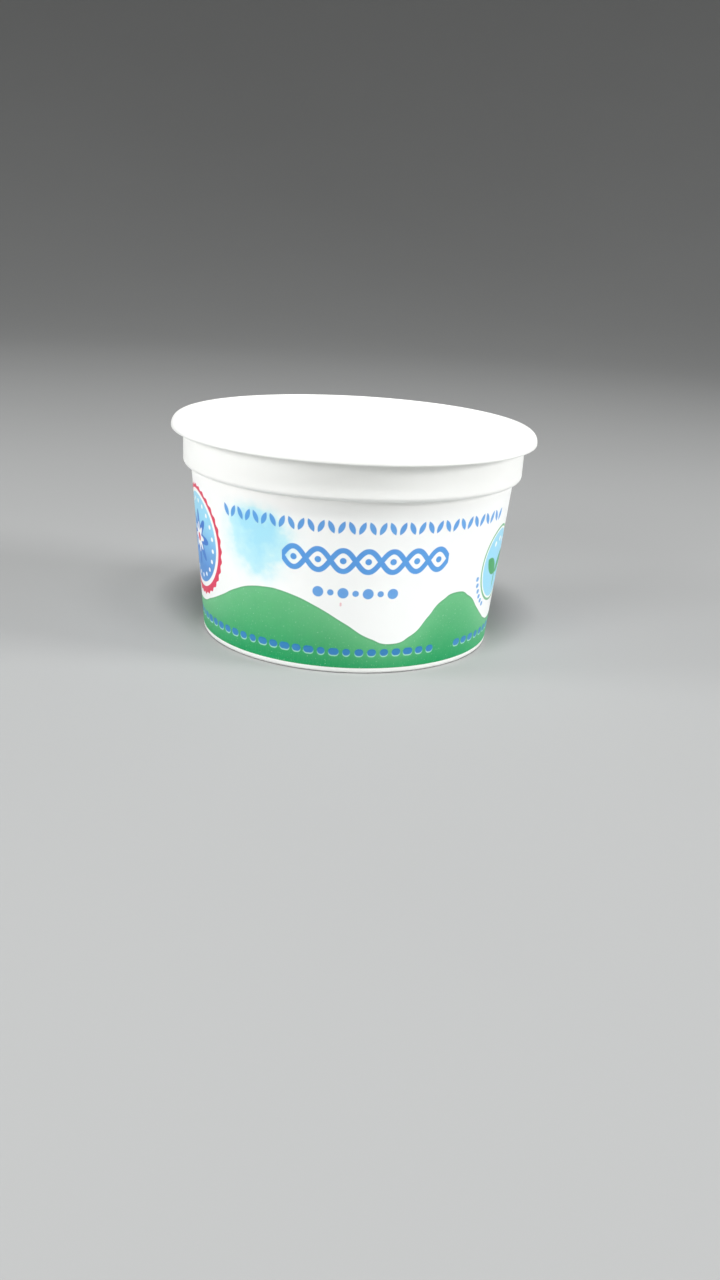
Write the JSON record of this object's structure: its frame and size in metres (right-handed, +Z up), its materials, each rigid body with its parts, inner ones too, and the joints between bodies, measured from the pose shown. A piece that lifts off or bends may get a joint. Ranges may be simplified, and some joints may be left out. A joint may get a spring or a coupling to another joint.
{
  "type": "disposable plastic cup",
  "caption": "Short round one-piece plastic cup with a raised base, tapered wall, stacking ledge, upright collar and rolled rim, printed with green hills; holds a small dessert.",
  "frame": {"origin": "centre of the circle that the cup stands on", "axes": "+Z up along the cup's axis, -Y towards the middle of the printed front, +X to the right of someone who looks at that front"},
  "size_m": [0.075, 0.075, 0.0446],
  "materials": {
    "printed_white_plastic": "Thin white moulded plastic with a soft gloss; the tapered wall carries a print of green hills with blue marks above a plain white foot."
  },
  "bodies": {
    "root": {"cup": "printed_white_plastic"}
  },
  "joints": []
}
